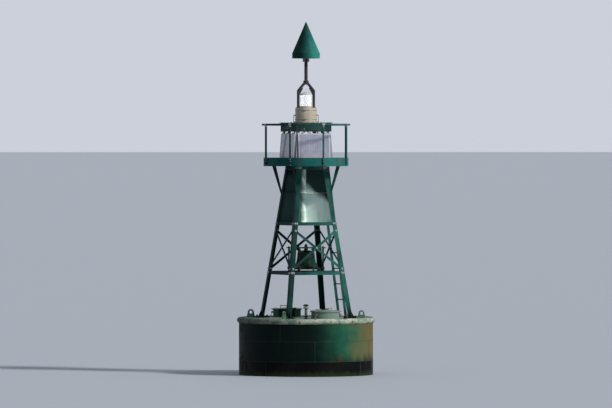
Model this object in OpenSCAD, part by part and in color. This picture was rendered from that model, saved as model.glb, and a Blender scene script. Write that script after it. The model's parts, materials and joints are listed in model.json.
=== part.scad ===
// Navigation buoy for sheltered water: a drum float with a tail tube and ballast,
// a square skeleton tower holding a wave-rung bell and a radar reflector, a round
// service gallery, a solar pedestal, a lantern and a cone topmark.
// Millimetres, +Z up. The origin is on the buoy's axis at its waterline.

/* [Float] */

// Radius of the drum float
float_r = 1200; // [1180:5:1230]
// Height of the float's top above the waterline
float_top = 1000; // [960:5:1050]
// Depth of the drum's straight side below the waterline
float_deep = 560; // [520:5:600]
// Top of the dark band above the waterline
band_top = 260; // [200:5:320]
// Thickness of the deck plate
deck_t = 10; // [8:1:12]
// Radius of a battery well
well_r = 230; // [220:1:236]
// Distance of a battery well's centre from the float's edge
well_edge = 340; // [330:1:350]

/* [Tail] */

// Radius of the tail tube
tail_r = 305; // [290:5:330]
// Length of the tail tube
tail_len = 1080; // [900:10:1300]
// Radius of the ballast weight
ballast_r = 440; // [400:5:480]

/* [Tower] */

// Distance of a leg's heel from the float's edge, along the diagonal
foot_edge = 309; // [300:1:320]
// Half of the tower's width at its head
head_half = 278; // [274:1:284]
// Height of the tower from its foot pads to its head
tower_h = 2701; // [2670:1:2740]
// Width of a leg angle
leg_w = 80; // [74:1:90]
// Thickness of a leg angle
leg_t = 8; // [6:1:10]
// Height of the lowest girt ring above the foot pads
girt_low = 764; // [740:2:800]
// Depth of the middle girt ring below the head
girt_mid = 1057; // [1020:2:1080]

/* [Bell] */

// Radius of the bell's waist
bell_waist = 150; // [140:1:158]
// How far the bell's mouth flares out from the waist
bell_flare = 112; // [100:1:118]
// Radius of a tapper's hammer
hammer_r = 34; // [28:1:36]

/* [Gallery] */

// Radius of the gallery's rim plate
gallery_r = 760; // [750:2:790]
// Height of the handrail's centre above the grating
rail_h = 670; // [620:5:760]
// Spacing of the grating bars
bar_pitch = 45; // [40:1:60]
// Half of the solar pedestal's width at its foot
ped_foot = 355; // [345:1:362]

/* [Lantern and topmark] */

// Radius of the lantern's lens
lens_r = 100; // [90:1:108]
// Height of the lantern's drum base
drum_h = 265; // [240:5:290]
// Length of the topmark's pole
pole_len = 415; // [360:5:460]
// Radius of the topmark cone
cone_r = 248; // [210:2:280]
// Height of the topmark cone
cone_h = 650; // [580:5:700]
// Height of the straight skirt at the foot of the topmark cone
cone_skirt = 90; // [40:5:140]

/* [Hidden] */

$fn = 64;

// levels on the float and the tower
deck_z = float_top + deck_t;
pad_t = 16;
pad_edge = 60;
foot_half = (float_r - foot_edge) / sqrt(2);
well_y = float_r - well_edge;

// lifting eyes, between the foot pads and the float's edge
eye_edge = 55;
eye_gap = 9;
eye_w = foot_edge - pad_edge * sqrt(2) - eye_edge - eye_gap;
eye_x = float_r - eye_edge - eye_w / 2;
eye_z = deck_z + 95;
eye_bore = 30;
foot_z = deck_z + pad_t;
head_z = foot_z + tower_h;
lean = (foot_half - head_half) / tower_h;
face_tilt = atan(lean);
slope_len = tower_h / cos(face_tilt);
deck_clear = 0.3;
seat = 0.05;

// underwater cone and tail
cone_drop = 420;
anode_r = 950;
tail_z = -float_deep - cone_drop;
tail_end = tail_z - tail_len;
cone_pitch = atan2(cone_drop, float_r - tail_r);

// girt levels, the underside of each ring
girt_h = 60;
girt_t = 6;
girt_top = 62;
girt_z = [foot_z + girt_low, head_z - girt_mid, head_z - girt_top];
knee_drop = 497;
knee_deep = 70;
brace_foot = 105;
brace_head = 95;

// bell parts
beam_h = 60;
beam_top = girt_z[0] + girt_t + beam_h;
bell_h = 290;
mouth_z = beam_top + 26;
crown_z = mouth_z + bell_h + 50;
stand_z = crown_z + 38;
tapper_z = stand_z - 28;
tapper_r = bell_waist + bell_flare + hammer_r + 28;

// radar reflector shelves, the underside of each
shelf_t = 4;
shelf_z = [girt_z[1] + girt_t, head_z - 482, girt_z[2] + girt_t];

// gallery levels
bearer_h = 40;
ledge_z = head_z + 32;
rod_z = head_z + bearer_h;
bar_z = rod_z + 8;
floor_z = bar_z + 25;
post_r = 16;
rail_pipe = 17;
rail_ring = gallery_r + rail_pipe;
rail_z = floor_z + rail_h;
arm_w = 50;
opening_y = 220;

// solar pedestal
ped_head = ped_foot - 40;
ped_z = floor_z;
ped_h = 545;
ped_tilt = atan((ped_foot - ped_head) / ped_h);
ped_base = ped_foot + 14;
opening_x = ped_base + 11;
panel_half = ped_foot - 50;
panel_z = 60;
panel_h = 450;
panel_edge = 20;
box_z = ped_z + ped_h;
box_h = 150;
box_half = ped_head + 30;
lid_z = box_z + box_h;

// lantern and topmark
drum_z = lid_z + 10;
drum_top = drum_z + drum_h;
lens_z = drum_top + 30;
lens_h = 200;
cap_z = lens_z + lens_h;
hub_z = cap_z + 200;
yoke_pipe = 24;
pole_z = hub_z + 40;
cone_z = pole_z + pole_len;

// hatch hinge, measured from the well's centre
hinge_y = -300;
hinge_z = deck_z + 155;
coaming_z = deck_z + 140;
pin_r = 8;

// Half of the tower's width at a height
function tower_half(z) = foot_half - (z - foot_z) * lean;
// Height of the underwater cone at a radius
function under_z(r) = tail_z + (r - tail_r) * cone_drop / (float_r - tail_r);
// Outside and inside radius of the bell, s running from 0 at the mouth to 1 at the waist
function bell_out(s) = bell_waist + bell_flare * exp(-3.2 * s);
function bell_in(s) = bell_out(s) - 14 - 14 * exp(-8 * s);

// Profile drawn in X and Z, given a thickness along Y
module upright_plate(t) rotate([90, 0, 0]) linear_extrude(t, center = true) children();

// The same profile turned to lie across X
module cross_plate(t) rotate([90, 0, 90]) linear_extrude(t, center = true) children();

// Square post or ring blank whose four faces lean in evenly
module taper_block(z0, z1, half0, half1) {
    side = [[-half0, z0], [half0, z0], [half1, z1], [-half1, z1]];
    intersection() {
        upright_plate(3 * half0) polygon(side);
        cross_plate(3 * half0) polygon(side);
    }
}

// Frame of a leaning tower face: X out of the face, Y along it, Z up the slope
module on_face(k) {
    rotate([0, 0, 90 * k])
        translate([foot_half, 0, foot_z])
            rotate([0, -face_tilt, 0])
                children();
}

// Flat bar between two points of a tower face, standing off it by x0
module face_bar(x0, t, w, y0, z0, y1, z1) {
    run = [y1 - y0, (z1 - z0) / cos(face_tilt)];
    translate([x0, y0, (z0 - foot_z) / cos(face_tilt)])
        rotate([-atan2(run[0], run[1]), 0, 0])
            translate([0, -w / 2, 0])
                cube([t, w, norm(run)]);
}

// Four angle legs of a leaning square frame
module angle_legs(z0, z1, half0, half1, w, t) {
    rise = (half0 - half1) / (z1 - z0);
    foot = half0 + rise;
    head = half1 - rise;
    wall = t / cos(atan(rise));
    opening = [[w - foot, z0 - 1], [foot - w, z0 - 1], [head - w, z1 + 1], [w - head, z1 + 1]];
    difference() {
        taper_block(z0, z1, half0, half1);
        taper_block(z0 - 1, z1 + 1, foot - wall, head - wall);
        upright_plate(3 * half0) polygon(opening);
        cross_plate(3 * half0) polygon(opening);
    }
}

// Float

module hull_lower() color([0.08, 0.09, 0.10])
    rotate_extrude($fn = 96)
        polygon([[0, tail_z], [tail_r, tail_z], [float_r, -float_deep],
                 [float_r, band_top], [0, band_top]]);

module wells(z0, z1) {
    for (side = [-1, 1])
        translate([0, side * well_y, z0]) cylinder(h = z1 - z0, r = well_r, $fn = 48);
}

module hull_upper() color([0.10, 0.33, 0.25])
    difference() {
        translate([0, 0, band_top]) cylinder(h = float_top - band_top, r = float_r, $fn = 96);
        wells(float_top - 650, float_top + 1);
    }

module deck_plate() color([0.16, 0.36, 0.28])
    difference() {
        translate([0, 0, float_top]) cylinder(h = deck_t, r = float_r, $fn = 96);
        wells(float_top - 1, deck_z + 1);
    }

// Half-round fender bar welded round the float's shoulder
module rub_rail() {
    rail_bulge = 35;
    rail_half = 50;
    arc_r = (rail_half * rail_half + rail_bulge * rail_bulge) / (2 * rail_bulge);
    color([0.62, 0.60, 0.48])
        rotate_extrude($fn = 96)
            intersection() {
                translate([float_r + rail_bulge - arc_r, float_top - 24]) circle(r = arc_r, $fn = 32);
                translate([float_r, float_top - 200]) square([200, 400]);
            }
}

// Tail and underwater fittings

module tail_tube() color([0.08, 0.09, 0.10]) {
    rotate_extrude($fn = 64)
        polygon([[0, tail_end], [tail_r + 45, tail_end], [tail_r + 45, tail_end + 20],
                 [tail_r, tail_end + 20], [tail_r, tail_z], [0, tail_z]]);
    for (k = [0:3])
        rotate([0, 0, 45 + 90 * k])
            upright_plate(12)
                polygon([[tail_r - 4, tail_z], [tail_r, tail_z],
                         [tail_r + 400, under_z(tail_r + 400)],
                         [tail_r, tail_z - 520], [tail_r - 4, tail_z - 520]]);
}

// Three cast rings bolted under the tail flange
module ballast_weight() {
    ring_h = 90;
    color([0.10, 0.10, 0.11])
        rotate_extrude($fn = 64)
            polygon([[0, tail_end], [0, tail_end - 3 * ring_h],
                     for (k = [3:-1:1]) each [
                         [ballast_r - 12, tail_end - k * ring_h],
                         [ballast_r, tail_end - k * ring_h + 12],
                         [ballast_r, tail_end - (k - 1) * ring_h - 12],
                         [ballast_r - 12, tail_end - (k - 1) * ring_h]]]);
}

// Two lugs under the shoulder that take the mooring bridle's shackles
module mooring_eyes() {
    eye_x = float_r - 150;
    eye_z = under_z(eye_x) - 130;
    color([0.16, 0.15, 0.15])
        for (side = [0, 180])
            rotate([0, 0, side])
                difference() {
                    upright_plate(45) {
                        polygon([[eye_x + 130, under_z(eye_x + 130)],
                                 [eye_x - 150, under_z(eye_x - 150)],
                                 [eye_x - 80, eye_z], [eye_x + 80, eye_z]]);
                        translate([eye_x, eye_z]) circle(r = 80, $fn = 48);
                    }
                    translate([eye_x, 0, eye_z])
                        rotate([90, 0, 0]) cylinder(h = 60, r = 36, center = true, $fn = 48);
                }
}

module anodes() color([0.60, 0.62, 0.62])
    for (k = [0:3])
        rotate([0, 0, 22.5 + 90 * k])
            translate([anode_r, 0, under_z(anode_r)])
                rotate([0, -cone_pitch, 0])
                    translate([-150, -40, -50]) cube([300, 80, 50]);

// Deck fittings

module lifting_eyes() {
    head_r = eye_bore + 25;
    color([0.16, 0.36, 0.28])
        for (k = [0:3])
            rotate([0, 0, 45 + 90 * k])
                difference() {
                    upright_plate(25) {
                        polygon([[eye_x - eye_w / 2, deck_z], [eye_x + eye_w / 2, deck_z],
                                 [eye_x + head_r, eye_z], [eye_x - head_r, eye_z]]);
                        translate([eye_x, eye_z]) circle(r = head_r, $fn = 48);
                    }
                    translate([eye_x, 0, eye_z])
                        rotate([90, 0, 0]) cylinder(h = 40, r = eye_bore, center = true, $fn = 48);
                }
}

// Places a well's fittings, side 0 at the rear and 1 at the front
module at_well(side) rotate([0, 0, 180 * side]) translate([0, well_y, 0]) children();

module coaming_ear() {
    cross_plate(10)
        polygon([[-240, deck_z], [-240, coaming_z - 45], [-276, coaming_z - 45],
                 [-282, hinge_z + 4], [-290, hinge_z + 18], [-310, hinge_z + 18],
                 [-318, hinge_z + 4], [-318, coaming_z - 45], [-300, deck_z]]);
}

module hatch_coamings() color([0.16, 0.36, 0.28])
    for (side = [0, 1])
        at_well(side) {
            difference() {
                translate([0, 0, deck_z]) cylinder(h = 140, r = well_r + 20, $fn = 64);
                translate([0, 0, deck_z - 1]) cylinder(h = 142, r = well_r, $fn = 64);
            }
            for (x = [-40, 40]) translate([x, 0, 0]) coaming_ear();
            translate([0, hinge_y, hinge_z])
                rotate([0, 90, 0]) cylinder(h = 100, r = pin_r, center = true, $fn = 24);
        }

// Dished lid with a skirt outside the coaming, a hinge strap and a hand bar
module hatch_cover() {
    lid_r = well_r + 38;
    lid_under = coaming_z + deck_clear;
    color([0.20, 0.40, 0.31]) {
        difference() {
            union() {
                rotate_extrude($fn = 64)
                    polygon([[0, lid_under], [lid_r - 6, lid_under], [lid_r - 6, lid_under - 12],
                             [lid_r, lid_under - 12], [lid_r, lid_under + 8],
                             [60, lid_under + 22], [0, lid_under + 22]]);
                translate([-30, hinge_y, lid_under + 8]) cube([60, 180, 8]);
                translate([0, hinge_y, hinge_z])
                    rotate([0, 90, 0]) cylinder(h = 60, r = 18, center = true, $fn = 32);
            }
            translate([0, hinge_y, hinge_z])
                rotate([0, 90, 0]) cylinder(h = 80, r = pin_r + 0.5, center = true, $fn = 32);
        }
        for (x = [-60, 60])
            translate([x, 150, lid_under + 10]) cylinder(h = 50, r = 6, $fn = 16);
        translate([0, 150, lid_under + 60])
            rotate([0, 90, 0]) cylinder(h = 132, r = 6, center = true, $fn = 16);
    }
}

module hatch_cover_rear() at_well(0) hatch_cover();

module hatch_cover_front() at_well(1) hatch_cover();

module vent_pipes() color([0.20, 0.40, 0.31])
    for (side = [0, 1])
        rotate([0, 0, 180 * side])
            translate([well_r + 100, well_y - 100, deck_z])
                rotate_extrude($fn = 32)
                    polygon([[0, 0], [50, 0], [50, 8], [24, 8], [24, 190], [55, 190],
                             [55, 200], [30, 222], [0, 226]]);

// Tower

module foot_pads() {
    pad_in = foot_half - 130;
    pad_out = foot_half + pad_edge;
    color([0.13, 0.32, 0.26])
        for (k = [0:3])
            rotate([0, 0, 90 * k]) {
                translate([pad_in, pad_in, deck_z])
                    cube([pad_out - pad_in, pad_out - pad_in, pad_t]);
                translate([0, foot_half - 40, 0]) pad_gusset();
                mirror([1, -1, 0]) translate([0, foot_half - 40, 0]) pad_gusset();
            }
}

module pad_gusset() {
    top_z = foot_z + 110;
    upright_plate(10)
        polygon([[foot_half, foot_z], [foot_half + 55, foot_z],
                 [tower_half(top_z) + 10, top_z], [tower_half(top_z), top_z]]);
}

module tower_legs() color([0.10, 0.34, 0.30])
    angle_legs(foot_z, head_z, foot_half, head_half, leg_w, leg_t);

// Ring of angle bar inside the legs, its flat flange level and turned inward
module girt_ring(z0) {
    gap = (leg_t + seat) / cos(face_tilt);
    z1 = z0 + girt_h;
    out0 = tower_half(z0) - gap;
    out1 = tower_half(z1) - gap;
    wall = girt_t / cos(face_tilt);
    difference() {
        taper_block(z0, z1, out0, out1);
        taper_block(z0 + girt_t, z1 + 1, tower_half(z0 + girt_t) - gap - wall,
                    tower_half(z1 + 1) - gap - wall);
        translate([girt_h - out0, girt_h - out0, z0 - 1])
            cube([2 * (out0 - girt_h), 2 * (out0 - girt_h), girt_h + 2]);
    }
}

module tower_girts() color([0.10, 0.34, 0.30])
    for (z = girt_z) girt_ring(z);

// Crossed flats in each lower bay, one outside and one inside the leg flanges
module tower_braces() {
    z0 = girt_z[0] + brace_foot;
    z1 = girt_z[1] - brace_head;
    y0 = tower_half(z0) - leg_w / 2;
    y1 = tower_half(z1) - leg_w / 2;
    cross_z = z0 + (z1 - z0) * y0 / (y0 + y1);
    color([0.10, 0.34, 0.30])
        for (k = [0:3])
            on_face(k) {
                face_bar(seat, 6, 45, -y0, z0, y1, z1);
                face_bar(-leg_t - seat - 6, 6, 45, y0, z0, -y1, z1);
                translate([-leg_t - 2, 0, (cross_z - foot_z) / cos(face_tilt)])
                    rotate([0, 90, 0]) cylinder(h = leg_t + 4, r = 20, $fn = 32);
            }
}

// Radar reflector: level shelves and crossed diagonal plates between them

module radar_shelves() color([0.72, 0.80, 0.76])
    for (z = shelf_z) {
        half = tower_half(z + shelf_t) - leg_t - (z == shelf_z[1] ? 1.5 : girt_t + 1.5);
        translate([-half, -half, z]) cube([2 * half, 2 * half, shelf_t]);
    }

// One diagonal plate's outline, notched over the girt at its top where asked
module tier_outline(z0, z1, x0, notch) {
    cut = notch ? girt_t + 2 : 0;
    r0 = tower_half(z0) * sqrt(2) - 22;
    r1 = tower_half(z1 - cut) * sqrt(2) - 22;
    inner = notch ? (tower_half(girt_z[2]) - leg_t - girt_h - 2) * sqrt(2) : r1;
    polygon([[x0, z0], [r0, z0], [r1, z1 - cut], [inner, z1 - cut], [inner, z1], [x0, z1]]);
}

module radar_tier(z0, z1, notch) {
    for (turn = [135, 315])
        rotate([0, 0, turn]) upright_plate(shelf_t) tier_outline(z0, z1, 0, notch);
    for (turn = [45, 225])
        rotate([0, 0, turn]) upright_plate(shelf_t) tier_outline(z0, z1, 1, notch);
}

module radar_plates() color([0.78, 0.88, 0.84]) {
    radar_tier(shelf_z[0] + shelf_t, shelf_z[1], false);
    radar_tier(shelf_z[1] + shelf_t, shelf_z[2], true);
}

// Bell and its stand

module bell_beams() {
    reach = tower_half(beam_top) - (leg_t + seat + girt_t) / cos(face_tilt) - 0.8;
    z0 = girt_z[0] + girt_t;
    color([0.10, 0.34, 0.30])
        for (turn = [0, 90])
            rotate([0, 0, turn])
                translate([-reach, -30, z0]) cube([2 * reach, 60, beam_h]);
}

module bell_stand() {
    color([0.09, 0.22, 0.20]) {
        for (k = [0:3])
            rotate([0, 0, 90 * k])
                translate([tapper_r + 10, 0, beam_top])
                    cylinder(h = stand_z - beam_top + 2, r = 15, $fn = 24);
        translate([0, 0, stand_z])
            rotate_extrude($fn = 64) translate([tapper_r - 6, 0]) square([32, 16]);
        for (turn = [0, 90])
            rotate([0, 0, turn])
                translate([-tapper_r, -25, stand_z]) cube([2 * tapper_r, 50, 16]);
        for (k = [0:3]) rotate([0, 0, 45 + 90 * k]) tapper_clevis();
    }
}

module tapper_clevis() {
    for (y = [-14, 14])
        translate([0, y, 0])
            upright_plate(8)
                polygon([[tapper_r - 15, tapper_z - 8], [tapper_r - 8, tapper_z - 16],
                         [tapper_r + 8, tapper_z - 16], [tapper_r + 15, tapper_z - 8],
                         [tapper_r + 15, stand_z + 2], [tapper_r - 5, stand_z + 2]]);
    translate([tapper_r, 0, tapper_z])
        rotate([90, 0, 0]) cylinder(h = 44, r = 7, center = true, $fn = 24);
}

module bell() {
    steps = 10;
    color([0.16, 0.24, 0.20])
        rotate_extrude($fn = 64)
            polygon([
                for (i = [0:steps]) [bell_out(i / steps), mouth_z + bell_h * i / steps],
                for (a = [22.5:22.5:90])
                    [35 + (bell_out(1) - 35) * cos(a), mouth_z + bell_h + 50 * sin(a)],
                [35, stand_z], [0, stand_z], [0, crown_z - 18],
                for (a = [67.5:-22.5:0])
                    [(bell_in(1)) * cos(a), mouth_z + bell_h + 32 * sin(a)],
                for (i = [steps - 1:-1:0]) [bell_in(i / steps), mouth_z + bell_h * i / steps]]);
}

// Hammer on a shank that hangs from the stand and swings against the bell
module tapper(k) {
    drop = tapper_z - mouth_z - 23;
    color([0.14, 0.14, 0.14])
        rotate([0, 0, 45 + 90 * k])
            translate([tapper_r, 0, tapper_z])
                difference() {
                    union() {
                        rotate([90, 0, 0]) cylinder(h = 16, r = 16, center = true, $fn = 32);
                        translate([0, 0, -drop]) cylinder(h = drop - 12, r = 9, $fn = 24);
                        translate([0, 0, -drop]) sphere(r = hammer_r, $fn = 32);
                    }
                    rotate([90, 0, 0]) cylinder(h = 20, r = 7.5, center = true, $fn = 32);
                }
}

module tapper_1() tapper(0);
module tapper_2() tapper(1);
module tapper_3() tapper(2);
module tapper_4() tapper(3);

// Ladder on the tower's +X face

module ladder() {
    foot = (deck_z - foot_z) / cos(face_tilt);
    top_z = head_z - 27;
    color([0.12, 0.34, 0.28]) {
        intersection() {
            on_face(0)
                for (y = [-158, 150])
                    translate([55, y, foot - 30]) cube([50, 8, slope_len]);
            translate([0, -400, deck_z]) cube([1200, 800, top_z - deck_z]);
        }
        for (z = girt_z) on_face(0) for (y = [-166, 158])
            translate([-leg_t, y, (z + 12 - foot_z) / cos(face_tilt)])
                cube([leg_t + 97, 8, 36]);
    }
}

module ladder_rungs() {
    pitch = 282;
    color([0.20, 0.40, 0.32])
        on_face(0)
            for (k = [1:9])
                translate([80, 0, k * pitch + 20])
                    rotate([90, 0, 0]) cylinder(h = 300, r = 10, center = true, $fn = 24);
}

// Service gallery

// Plate knees from the legs' heels out to the diagonal bearers
module knee_braces() {
    z0 = head_z - knee_drop;
    z1 = z0 + knee_deep;
    color([0.10, 0.34, 0.32])
        for (k = [0:3])
            rotate([0, 0, 45 + 90 * k])
                upright_plate(10)
                    polygon([[tower_half(z0) * sqrt(2), z0], [gallery_r - 110, head_z],
                             [gallery_r - 180, head_z], [tower_half(z1) * sqrt(2), z1]]);
}

module bearer_arm(reach) {
    full = min(reach, gallery_r - 41);
    translate([0, -arm_w / 2, head_z]) cube([full, arm_w, bearer_h]);
    if (reach > full)
        translate([0, -arm_w / 2, head_z]) cube([reach, arm_w, ledge_z - head_z]);
}

// Star of flat bearers on the leg heads, trimmed round the ladder opening
module platform_bearers() {
    trim_x = sqrt(pow(gallery_r - 41, 2) - pow(opening_y + 12, 2)) - 1;
    color([0.11, 0.33, 0.29]) {
        for (k = [1:7]) rotate([0, 0, 45 * k]) bearer_arm(gallery_r - 8.5);
        bearer_arm(opening_x);
        for (side = [0, 1])
            mirror([0, side, 0])
                translate([arm_w * 4, opening_y, head_z])
                    cube([trim_x - arm_w * 4, 12, bearer_h]);
        translate([opening_x - 8, -opening_y - 1, head_z])
            cube([8, 2 * opening_y + 2, bearer_h]);
    }
}

module platform_rim() color([0.11, 0.33, 0.29])
    translate([0, 0, head_z])
        rotate_extrude($fn = 96) {
            translate([gallery_r - 8, 0]) square([8, 153]);
            translate([gallery_r - 40, 32]) square([33, 8]);
        }

// Bearing bars of the floor, cut back round the ladder opening
module platform_grating() {
    edge = gallery_r - 10;
    count = floor((edge - 20) / bar_pitch);
    color([0.20, 0.36, 0.32])
        for (i = [-count:count]) {
            x = i * bar_pitch;
            reach = sqrt(pow(edge, 2) - pow(abs(x) + 2.5, 2));
            if (x > opening_x - 4) {
                if (reach > opening_y + 2)
                    for (side = [0, 1])
                        mirror([0, side, 0])
                            translate([x - 2.5, opening_y + 2, bar_z])
                                cube([5, reach - opening_y - 2, 25]);
            } else
                translate([x - 2.5, -reach, bar_z]) cube([5, 2 * reach, 25]);
        }
}

module grating_rods() {
    edge = gallery_r - 11;
    color([0.20, 0.36, 0.32])
        for (y = [75, 226, 375, 525, 675], side = [-1, 1]) {
            reach = sqrt(pow(edge, 2) - pow(y + 4, 2));
            front = y < opening_y ? opening_x : reach;
            translate([-reach, side * y - 4, rod_z]) cube([reach + front, 8, 8]);
        }
}

// Eight pipe posts against the rim, notched to the handrail
module rail_posts() color([0.14, 0.36, 0.31])
    difference() {
        for (k = [0:7])
            rotate([0, 0, 45 * k])
                translate([gallery_r + post_r, 0, head_z + 18])
                    cylinder(h = rail_z - head_z - 18, r = post_r, $fn = 32);
        translate([0, 0, rail_z])
            rotate_extrude($fn = 72) translate([rail_ring, 0]) circle(r = rail_pipe, $fn = 24);
    }

module top_rail() color([0.14, 0.38, 0.33])
    translate([0, 0, rail_z])
        rotate_extrude($fn = 72) translate([rail_ring, 0]) circle(r = rail_pipe, $fn = 24);

// Solar pedestal

module pedestal_frame() color([0.30, 0.36, 0.40]) {
    base_in = ped_base - 60;
    difference() {
        translate([-ped_base, -ped_base, floor_z]) cube([2 * ped_base, 2 * ped_base, 8]);
        translate([-base_in, -base_in, floor_z - 1]) cube([2 * base_in, 2 * base_in, 10]);
    }
    angle_legs(ped_z, box_z, ped_foot, ped_head, 50, 5);
}

// Frame of a leaning pedestal face
module on_pedestal(k) {
    rotate([0, 0, 90 * k])
        translate([ped_foot, 0, ped_z])
            rotate([0, -ped_tilt, 0])
                children();
}

// One panel's outline, taken in by an edge
module panel_block(x, t, edge) {
    half = panel_half - edge;
    translate([x, -half, panel_z + edge]) cube([t, 2 * half, panel_h - 2 * edge]);
}

module solar_frames() color([0.62, 0.64, 0.70])
    for (k = [0:3])
        on_pedestal(k)
            difference() {
                panel_block(0, 35, 0);
                panel_block(-1, 37, panel_edge);
            }

module solar_laminates() color([0.42, 0.45, 0.56])
    for (k = [0:3])
        on_pedestal(k) panel_block(26, 6, panel_edge);

// Battery and control box on the pedestal with an overhanging lid
module equipment_box() color([0.13, 0.25, 0.24]) {
    lid_half = box_half + 20;
    translate([-box_half, -box_half, box_z]) cube([2 * box_half, 2 * box_half, box_h]);
    translate([-lid_half, -lid_half, lid_z]) cube([2 * lid_half, 2 * lid_half, 10]);
}

// Lantern and topmark

module lantern_base() color([0.68, 0.64, 0.57])
    rotate_extrude($fn = 64)
        polygon([[0, drum_z], [220, drum_z], [220, drum_z + 12], [192, drum_z + 12],
                 [192, drum_top], [lens_r + 20, drum_top], [lens_r + 20, lens_z], [0, lens_z]]);

// Ribbed lens, its rings standing out from the body
module lantern_lens() {
    rings = 6;
    ring_h = (lens_h - 20) / rings;
    wall = 14;
    color([0.86, 0.90, 0.90])
        rotate_extrude($fn = 48)
            polygon([[lens_r - wall, lens_z], [lens_r, lens_z], [lens_r, lens_z + 10],
                     for (i = [0:rings - 1]) each [
                         [lens_r - 7, lens_z + 10 + i * ring_h],
                         [lens_r, lens_z + 10 + (i + 0.5) * ring_h]],
                     [lens_r - 7, cap_z - 10], [lens_r, cap_z - 10], [lens_r, cap_z],
                     [lens_r - wall, cap_z]]);
}

// Stack of lamp plates on a column inside the lens
module lamp_unit() {
    tiers = 4;
    plate_r = lens_r * 0.5;
    color([0.80, 0.81, 0.80])
        translate([0, 0, lens_z])
            rotate_extrude($fn = 32)
                polygon([[0, 0], [plate_r + 12, 0], [plate_r + 12, 16],
                         for (i = [0:tiers - 1]) each [
                             [20, 18 + i * 36], [20, 36 + i * 36],
                             [plate_r, 36 + i * 36], [plate_r, 48 + i * 36]],
                         [20, 50 + (tiers - 1) * 36], [20, 62 + (tiers - 1) * 36],
                         [0, 62 + (tiers - 1) * 36]]);
}

module lantern_cap() color([0.75, 0.76, 0.75])
    translate([0, 0, cap_z])
        rotate_extrude($fn = 48)
            polygon([[0, 0], [lens_r + 10, 0], [lens_r + 10, 12], [lens_r - 8, 26],
                     [lens_r - 38, 38], [6, 45], [3, 100], [0, 105]]);

// Pipe hoop over the lantern with plates in its corners and a hub on top
module topmark_yoke() {
    knee_z = cap_z + 75;
    shoulder_z = hub_z + 12;
    leg_x = lens_r + 27 + yoke_pipe;
    foot_in = lens_r + 21;
    slant = [leg_x - 30, shoulder_z - knee_z];
    color([0.09, 0.26, 0.24]) {
        for (side = [0, 180])
            rotate([0, 0, side]) {
                translate([foot_in, -32, drum_top]) cube([leg_x + 32 - foot_in, 64, 8]);
                translate([leg_x, 0, drum_top]) cylinder(h = knee_z - drum_top, r = yoke_pipe, $fn = 32);
                translate([leg_x, 0, knee_z]) sphere(r = yoke_pipe, $fn = 32);
                translate([leg_x, 0, knee_z])
                    rotate([0, -atan2(slant[0], slant[1]), 0])
                        cylinder(h = norm(slant), r = yoke_pipe, $fn = 32);
                upright_plate(10)
                    polygon([[leg_x, knee_z - 75], [leg_x, knee_z],
                             [leg_x - 0.6 * slant[0], knee_z + 0.6 * slant[1]],
                             [leg_x - 0.75 * slant[0], knee_z + 0.3 * slant[1]],
                             [leg_x - yoke_pipe, knee_z - 75]]);
            }
        translate([0, 0, hub_z - 15]) cylinder(h = 55, r = 45, $fn = 48);
    }
}

// Topmark pole with its foot flange on the yoke's hub
module topmark_pole() color([0.55, 0.58, 0.60]) {
    translate([0, 0, pole_z]) cylinder(h = 12, r = 52, $fn = 48);
    translate([0, 0, pole_z]) cylinder(h = pole_len, r = 30, $fn = 32);
}

module topmark_cone() color([0.18, 0.50, 0.45])
    rotate_extrude($fn = 64)
        polygon([[0, cone_z], [cone_r, cone_z], [cone_r, cone_z + cone_skirt],
                 [6, cone_z + cone_h], [0, cone_z + cone_h]]);

hull_lower();
hull_upper();
deck_plate();
rub_rail();
tail_tube();
ballast_weight();
mooring_eyes();
anodes();
lifting_eyes();
hatch_coamings();
hatch_cover_front();
hatch_cover_rear();
vent_pipes();
foot_pads();
tower_legs();
tower_girts();
tower_braces();
radar_shelves();
radar_plates();
bell_beams();
bell_stand();
bell();
tapper_1();
tapper_2();
tapper_3();
tapper_4();
ladder();
ladder_rungs();
knee_braces();
platform_bearers();
platform_rim();
grating_rods();
platform_grating();
rail_posts();
top_rail();
pedestal_frame();
solar_frames();
solar_laminates();
equipment_box();
lantern_base();
lamp_unit();
lantern_lens();
lantern_cap();
topmark_yoke();
topmark_pole();
topmark_cone();
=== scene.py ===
"""Looks of a lighted bell buoy: paint, rust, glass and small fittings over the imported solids."""
import json
import math
import random

import bpy
from mathutils import Matrix, Vector


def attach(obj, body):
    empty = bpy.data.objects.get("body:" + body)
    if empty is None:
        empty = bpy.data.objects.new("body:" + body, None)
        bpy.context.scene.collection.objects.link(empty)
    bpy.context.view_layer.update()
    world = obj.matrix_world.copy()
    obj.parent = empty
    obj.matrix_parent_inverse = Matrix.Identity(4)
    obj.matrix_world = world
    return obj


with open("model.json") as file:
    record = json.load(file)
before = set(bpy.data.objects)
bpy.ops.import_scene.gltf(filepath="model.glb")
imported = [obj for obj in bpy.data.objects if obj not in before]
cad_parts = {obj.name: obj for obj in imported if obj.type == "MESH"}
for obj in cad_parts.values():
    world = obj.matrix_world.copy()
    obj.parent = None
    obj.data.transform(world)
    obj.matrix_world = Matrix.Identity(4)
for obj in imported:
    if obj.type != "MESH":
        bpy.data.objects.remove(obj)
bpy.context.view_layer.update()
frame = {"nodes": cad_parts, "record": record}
NODES = frame["nodes"]


# Camera: far off and almost level, as the photograph's, the buoy filling the frame

VIEW_AZ = math.radians(-23.5)
EYE_HEIGHT = 4.02
EYE_RANGE = 105.0
FRAME_HEIGHT = 7.3
AIM_Z = 3.05
SENSOR_WIDTH, SENSOR_HEIGHT = 36.0, 24.0


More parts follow.
